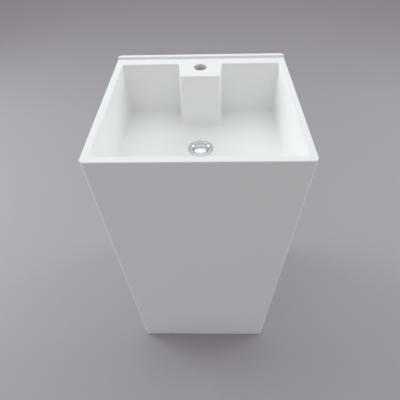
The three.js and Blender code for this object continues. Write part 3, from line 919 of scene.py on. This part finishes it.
def waste_body():
    """The plated waste: a crowned flange, the plug's seat, a threaded tail and a cross for the cartridge."""
    under = FLANGE_LOW / MM
    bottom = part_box("waste_body")[0].z / MM
    outline = [
        (31.5, under, 0.2), (31.5, under + 0.5, 0.5), (30.4, under + 1.3, 0.7), (27.2, under + 1.6, 1.5),
        (23.4, under + 1.55, 0.8), (19.5, under - 1.4, 0.5), (19.5, under - 2.8, 0.4),
        (17.8, under - 4.8, 0.8), (17.8, bottom, 0.5), (20.2, bottom, 0.4),
        *threads(bottom + 1, under - 6, 20.9, 19.9, 2.3),
        (20.9, under - 4.8, 0.3), (22.4, under - 1.6, 0.3), (22.4, under, 0),
    ]
    body = turned("waste_body", outline, waste_centre())
    low, high = under - 31.6, under - 25.6
    reach, bar = 19.3 * MM, 2 * MM
    cross, across = [block(
        "cross", (WASTE.x - x, WASTE.y - y, low * MM), (WASTE.x + x, WASTE.y + y, high * MM),
    ) for x, y in ((reach, bar), (bar, reach))]
    hub_outline = [(5.3, low, 0.4), (8.5, low, 0.6), (8.5, high, 0.6), (5.3, high, 0.4)]
    hub = turned("hub", hub_outline, waste_centre())
    carve(cross, across, operation="UNION")
    carve(cross, rod("core", 6 * MM, (low - 5) * MM, (high + 5) * MM, waste_centre(), "Z", 48))
    carve(cross, hub, operation="UNION")
    carve(body, cross, operation="UNION")
    return body


def washer(node, soft=0.5, along_y=False):
    """A ring as wide and thick as its node, with softened edges; its bore fits what it goes round."""
    low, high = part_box(node)
    outer = (high.x - low.x) / 2 / MM
    start, end = (low.y / MM, high.y / MM) if along_y else (low.z / MM, high.z / MM)
    centre = Vector((WASTE.x, 0, (low.z + high.z) / 2)) if along_y else waste_centre()
    corners = ((BORES[node], start), (outer, start), (outer, end), (BORES[node], end))
    return turned(node, [(*corner, soft) for corner in corners], centre, along_y)


def waste_nut():
    """A flat hexagon nut of brass with chamfered corners and bore."""
    low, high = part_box("waste_nut")
    bottom, top = low.z / MM, high.z / MM
    corner = (high.x - low.x) / 2 / MM
    flat = corner * math.cos(math.pi / 6)
    clear_selection()
    bpy.ops.mesh.primitive_cylinder_add(vertices=6, radius=corner * MM, depth=high.z - low.z,
                                        location=(WASTE.x, WASTE.y, (low.z + high.z) / 2),
                                        rotation=(0, 0, math.pi / 6))
    nut = settle("waste_nut")
    chamfer = (corner - flat) * 0.5
    lower_half = [(21.3, bottom + 1, 0), (22.3, bottom - 0.01, 0), (flat - 0.6, bottom - 0.01, 0),
                  (corner + 0.5, bottom + chamfer, 0)]
    upper_half = [(r, top + bottom - z, soft) for r, z, soft in reversed(lower_half)]
    trimmer = turned("trimmer", lower_half + upper_half, waste_centre(), steps=96)
    carve(nut, trimmer, operation="INTERSECT")
    return nut


def click_cartridge():
    """The moulded cartridge that holds the plug up or down, with a grooved collar."""
    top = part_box("click_cartridge")[1].z / MM
    shoulder = top - 5.7
    grooves = []
    for groove in range(4):
        at = shoulder - 20 + 4 * groove
        grooves += [(5, at, 0.2), (4.5, at + 0.4, 0.2), (4.5, at + 1.4, 0.2), (5, at + 1.8, 0.2)]
    return turned("click_cartridge", [
        (0, shoulder - 25, 0), (4.2, shoulder - 25, 0.6), (5, shoulder - 24, 0.5), *grooves,
        (5, shoulder, 0.3), (7.5, shoulder, 0.4), (7.5, shoulder + 3, 0.6), (5, shoulder + 3, 0.3),
        (5, top, 0.4),
        (3.5, top, 0.3), (3.5, shoulder - 22, 0.3), (0, shoulder - 22, 0),
    ], waste_centre(), closed=False, steps=48)


def plug_spring():
    """A coil of round wire with closed ends; the real spring stretches as the plug rises, but this one is
    built as a fixed coil.
    """
    low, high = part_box("plug_spring")
    wire, coil, turns = 0.6 * MM, 4.6 * MM, 4
    clear_selection()
    bpy.ops.mesh.primitive_circle_add(vertices=12, radius=wire, location=(coil, 0, 0),
                                      rotation=(math.pi / 2, 0, 0))
    spring = settle("plug_spring")
    rise = high.z - low.z - 2.2 * wire
    apply_modifier(spring, "SCREW", angle=2 * math.pi, screw_offset=rise / turns, iterations=turns,
                   steps=36, render_steps=36, axis="Z")
    open_mesh(spring)
    pick("EDGE", lambda edge: edge.is_boundary)
    bpy.ops.mesh.fill_holes(sides=0)
    close_mesh()
    mend(spring)
    set_down(spring, (WASTE.x, WASTE.y, low.z + 1.1 * wire))
    return spring


def plug_stem():
    low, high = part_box("plug_stem")
    bottom, top = low.z / MM, high.z / MM
    return turned("plug_stem", [
        (0, bottom, 0), (2.2, bottom, 0.6), (3, bottom + 1.2, 0.5), (3, bottom + 8, 0.2),
        (2.4, bottom + 8.6, 0.2), (2.4, bottom + 10.4, 0.2), (3, bottom + 11, 0.2), (3, top - 4, 0.2),
        (2.7, top - 3.6, 0.1),
        (2.7, top, 0.2), (0, top, 0),
    ], waste_centre(), closed=False, steps=40)


def plug_cap():
    """The domed cap of the plug with a rolled rim, a groove for the seal and a socket for the stem."""
    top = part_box("plug_cap")[1].z / MM
    radius, dome, rings = 18.7, 4.2, 12
    rim = top - dome
    under, socket_end = rim - 1.4, rim - 8.1
    crown = [(radius * ring / rings, top - dome * (ring / rings) ** 2, 0) for ring in range(rings)]
    return turned("plug_cap", [
        *crown, (radius - 0.15, rim + 0.05, 0.6), (radius, rim - 0.9, 0.4), (14.4, under, 0.4),
        (14.4, under - 2.6, 0.3), (12.2, under - 2.6, 0.3), (12.2, under, 0.4), (6, under, 0.6),
        (6, socket_end, 0.4), (3.3, socket_end, 0.3), (3.3, rim - 0.6, 0), (0, rim - 0.6, 0),
    ], waste_centre(), closed=False, steps=96)


def plug_seal():
    """A lip seal in the groove of the cap."""
    low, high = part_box("plug_seal")
    bottom, top = low.z / MM, high.z / MM
    return turned("plug_seal", [
        (14.7, bottom, 0.4), (16.9, bottom, 0.5), (17.7, top - 0.3, 0.4), (17.3, top, 0.2),
        (14.7, top, 0.3),
    ], waste_centre())


class BASIN_OT_waste(bpy.types.Operator):
    """Builds the waste with its gasket, washers and nut"""
    bl_idname = "basin.waste"
    bl_label = "Waste"

    def execute(self, context):
        finish_piece(waste_body(), "waste_body", "chrome")
        for node, soft, slot in (("waste_gasket", 0.3, "seal_rubber"), ("lower_washer", 0.9, "seal_rubber"),
                                 ("friction_washer", 0.3, "grey_plastic")):
            finish_piece(washer(node, soft), node, slot)
        finish_piece(waste_nut(), "waste_nut", "brass")
        return {"FINISHED"}


class BASIN_OT_plug(bpy.types.Operator):
    """Builds the click plug, its cartridge and its spring"""
    bl_idname = "basin.plug"
    bl_label = "Click plug"

    def execute(self, context):
        finish_piece(click_cartridge(), "click_cartridge", "grey_plastic")
        finish_piece(plug_stem(), "plug_stem", "brass", "plug")
        finish_piece(plug_cap(), "plug_cap", "chrome", "plug", angle=50)
        finish_piece(plug_seal(), "plug_seal", "seal_rubber", "plug")
        spring = finish_piece(plug_spring(), "plug_spring", "spring_steel", body=None)
        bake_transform(spring)
        return {"FINISHED"}


# ---- Trap ----

def grip_ribs(piece, centre, radius, low, high, along_y=False, every=3, rise=0.9):
    """Raises some strips of a round wall between two heights as grip ribs; lengths in millimetres."""
    axis = 1 if along_y else 2
    cells = sizes().turns

    def on_wall(face):
        at = face.calc_center_median() - centre
        level = at[axis] + centre[axis]
        flat = (at.x, at.z) if along_y else (at.x, at.y)
        cell = math.floor(math.atan2(flat[1], flat[0]) / (2 * math.pi) * cells)
        spans = low * MM - 1e-4 < level < high * MM + 1e-4
        far = math.hypot(*flat) > (radius - 0.4) * MM
        return far and spans and abs(face.normal[axis]) < 0.2 and cell % every == 0
    open_mesh(piece)
    if pick("FACE", on_wall):
        bpy.ops.mesh.extrude_region_shrink_fatten(TRANSFORM_OT_shrink_fatten={"value": rise * MM})
    close_mesh()
    apply_modifier(piece, "BEVEL", width=0.25 * MM, segments=2, limit_method="ANGLE",
                   angle_limit=math.radians(55))


def union_nut(node, way, along_y=False):
    """A ribbed plastic union nut with a skirt and, at the end that way points to, an inward lip."""
    low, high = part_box(node)
    axis = 1 if along_y else 2
    centre = Vector((WASTE.x, WASTE.y, (low.z + high.z) / 2)) if along_y else waste_centre()
    origin = WASTE.y if along_y else 0
    outer = (high.x - low.x) / 2 / MM
    ends = [(low[axis] - origin) / MM, (high[axis] - origin) / MM]
    skirt, lip = (ends[0], ends[1]) if way > 0 else (ends[1], ends[0])
    body = outer - 0.9
    outline = [
        (21.3, skirt, 0.4), (outer, skirt, 0.7), (outer, skirt + way * 2.2, 0.5),
        (body, skirt + way * 2.8, 0.4), (body, lip - way * 2.2, 0.4), (body - 0.4, lip - way * 0.8, 0.6),
        (body - 1.6, lip, 0.6), (16.5, lip, 0.4), (16.5, lip - way * 3, 0.3), (21.3, lip - way * 3, 0.3),
    ]
    nut = turned(node, outline, centre, along_y)
    ribs = sorted((skirt + way * 3.4, lip - way * 2.6))
    ribs = [end + origin for end in ribs]
    grip_ribs(nut, centre, body, *ribs, along_y=along_y)
    return nut


def inlet_tube():
    low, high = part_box("trap_inlet_tube")
    end, collar = low.z / MM, high.z / MM
    return turned("inlet_tube", [
        (14.4, end, 0.4), (16, end, 0.4), (16, collar - 2.8, 0.6), (20.6, collar - 2.8, 0.5),
        (20.6, collar, 0.5), (14.4, collar, 0.5),
    ], waste_centre())


def trap_bottle():
    """The bottle of the trap with its side outlet."""
    low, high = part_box("trap_body")
    bottom, top = low.z / MM, high.z / MM
    shoulder = top - 21
    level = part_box("outlet_pipe")
    centre_y = Vector((WASTE.x, WASTE.y, (level[0].z + level[1].z) / 2))
    bottle = turned("bottle", [
        (30.5, bottom, 0.4), (33, bottom, 0.4), (33, bottom + 17.5, 0.4), (34.2, bottom + 18.2, 0.4),
        (34.2, bottom + 20, 0.4), (33, bottom + 20.7, 0.4), (33, shoulder, 3.5), (20.4, shoulder + 9, 1.6),
        (20.4, top, 0.5), (16.5, top, 0.4), (16.5, shoulder + 5, 1), (30.5, shoulder - 3, 2),
    ], waste_centre())
    boss = turned("boss", [(8, 20, 0), (20.4, 20, 0), (20.4, 55, 0.5), (8, 55, 0)], centre_y, along_y=True)
    carve(bottle, boss, operation="UNION")
    carve(bottle, rod("inside", 30.1 * MM, (bottom - 1) * MM, (shoulder - 4) * MM, waste_centre(), "Z", 72))
    carve(bottle, rod("way", 14.4 * MM, WASTE.y + 20 * MM, WASTE.y + 80 * MM, centre_y, "Y", 64))
    carve(bottle, rod("socket", 16.5 * MM, WASTE.y + 43 * MM, WASTE.y + 81 * MM, centre_y, "Y", 64))
    return bottle


def trap_cup():
    """The cup that unscrews from the bottle, with a ribbed wall and a stepped underside."""
    low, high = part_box("trap_cup")
    bottom, top = low.z / MM, high.z / MM
    shelf = top - 18.5
    cup = turned("trap_cup", [
        (0, bottom + 1, 0), (12, bottom + 1, 0.5), (13, bottom, 0.5), (28.5, bottom, 2),
        (32.5, bottom + 4, 2), (35.2, shelf - 3, 1.5), (36.1, shelf + 1, 0.6), (36.1, top - 2.6, 0.3),
        (37, top - 2.2, 0.4),
        (37, top, 0.6), (33.4, top, 0.3), (33.4, shelf, 0.2), (30.5, shelf, 0.5), (29.5, bottom + 6, 1),
        (26.5, bottom + 3, 1), (0, bottom + 3, 0),
    ], waste_centre(), closed=False)
    grip_ribs(cup, waste_centre(), 36.1, shelf + 1.5, top - 3)
    return cup


def outlet_pipe():
    low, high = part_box("outlet_pipe")
    centre = Vector((WASTE.x, 0, (low.z + high.z) / 2))
    start, end = low.y / MM, high.y / MM
    return turned("outlet_pipe", [(14.4, start, 0.4), (16, start, 0.5), (16, end, 0.5), (14.4, end, 0.4)],
                  centre, along_y=True)


class BASIN_OT_trap(bpy.types.Operator):
    """Builds the bottle trap, its union nuts, washers and pipes"""
    bl_idname = "basin.trap"
    bl_label = "Bottle trap"

    def execute(self, context):
        finish_piece(union_nut("trap_inlet_nut", -1), "trap_inlet_nut", "white_plastic")
        finish_piece(washer("trap_inlet_washer"), "trap_inlet_washer", "seal_rubber")
        finish_piece(inlet_tube(), "trap_inlet_tube", "white_plastic")
        finish_piece(union_nut("trap_top_nut", 1), "trap_top_nut", "white_plastic")
        finish_piece(washer("trap_top_washer"), "trap_top_washer", "seal_rubber")
        finish_piece(trap_bottle(), "trap_body", "white_plastic")
        finish_piece(trap_cup(), "trap_cup", "white_plastic", "trap_cup")
        finish_piece(washer("trap_cup_seal"), "trap_cup_seal", "seal_rubber", "trap_cup")
        finish_piece(union_nut("trap_outlet_nut", 1, along_y=True), "trap_outlet_nut", "white_plastic")
        finish_piece(washer("trap_outlet_washer", along_y=True), "trap_outlet_washer", "seal_rubber")
        finish_piece(outlet_pipe(), "outlet_pipe", "white_plastic")
        return {"FINISHED"}


# ---- Stage ----

def soft_light(name, size, power, place, target):
    data = bpy.data.lights.new(name, "AREA")
    data.shape = "RECTANGLE"
    data.size, data.size_y = size
    data.energy = power
    data.color = DAYLIGHT
    light = bpy.data.objects.new(name, data)
    light.location = place
    light.rotation_euler = (Vector(target) - Vector(place)).to_track_quat("-Z", "Y").to_euler()
    bpy.context.collection.objects.link(light)


def add_camera():
    data = bpy.data.cameras.new("camera")
    data.lens = CAMERA_LENS
    data.sensor_width = CAMERA_SENSOR
    camera = bpy.data.objects.new("camera", data)
    yaw, pitch, roll = (math.radians(angle) for angle in CAMERA_TURN)
    ahead = Vector((math.sin(yaw) * math.cos(pitch), math.cos(yaw) * math.cos(pitch), -math.sin(pitch)))
    right = Vector((math.cos(yaw), -math.sin(yaw), 0))
    up = right.cross(ahead)
    side = right * math.cos(roll) + up * math.sin(roll)
    top = up * math.cos(roll) - right * math.sin(roll)
    turn = Matrix((side, top, -ahead)).transposed()
    camera.matrix_world = Matrix.Translation(CAMERA_PLACE) @ turn.to_4x4()
    bpy.context.collection.objects.link(camera)
    bpy.context.scene.camera = camera


class BASIN_OT_stage(bpy.types.Operator):
    """Sets up the floor, the lights and the camera"""
    bl_idname = "basin.stage"
    bl_label = "Stage"

    def execute(self, context):
        clear_selection()
        bpy.ops.mesh.primitive_plane_add(size=FLOOR_SIZE, location=(0, 0, -0.2 * MM))
        floor = settle("studio_floor")
        floor.data.materials.append(studio_floor())
        for panel in PANELS:
            soft_light(*panel)
        world = bpy.data.worlds.new("studio")
        world.use_nodes = True
        background = world.node_tree.nodes["Background"]
        background.inputs["Color"].default_value = WORLD_COLOUR
        background.inputs["Strength"].default_value = WORLD_STRENGTH
        context.scene.world = world
        context.scene.view_settings.view_transform = "Standard"
        add_camera()
        return {"FINISHED"}


class BASIN_PT_build(bpy.types.Panel):
    """Lists the steps that build the basin"""
    bl_idname = "BASIN_PT_build"
    bl_label = "Pedestal Basin"
    bl_space_type = "VIEW_3D"
    bl_region_type = "UI"
    bl_category = "Basin"

    def draw(self, context):
        column = self.layout.column(align=True)
        for step in STEPS:
            column.operator(step.bl_idname)
        for group in (context.scene.basin_sizes, context.scene.basin_finishes):
            box = self.layout.box()
            for name in group.bl_rna.properties.keys():
                if name not in ("rna_type", "name"):
                    box.prop(group, name)


STEPS = (BASIN_OT_body, BASIN_OT_lip, BASIN_OT_strips, BASIN_OT_fixings, BASIN_OT_waste, BASIN_OT_plug,
         BASIN_OT_trap, BASIN_OT_stage)
CLASSES = (BasinSizes, BasinFinishes, *STEPS, BASIN_PT_build)


def register():
    for item in CLASSES:
        bpy.utils.register_class(item)
    bpy.types.Scene.basin_sizes = PointerProperty(type=BasinSizes)
    bpy.types.Scene.basin_finishes = PointerProperty(type=BasinFinishes)


def unregister():
    del bpy.types.Scene.basin_finishes
    del bpy.types.Scene.basin_sizes
    for item in reversed(CLASSES):
        bpy.utils.unregister_class(item)


def main():
    register()
    bpy.ops.basin.body()
    bpy.ops.basin.lip()
    bpy.ops.basin.strips()
    bpy.ops.basin.fixings()
    bpy.ops.basin.waste()
    bpy.ops.basin.plug()
    bpy.ops.basin.trap()
    bpy.ops.basin.stage()


if __name__ == "__main__":
    main()
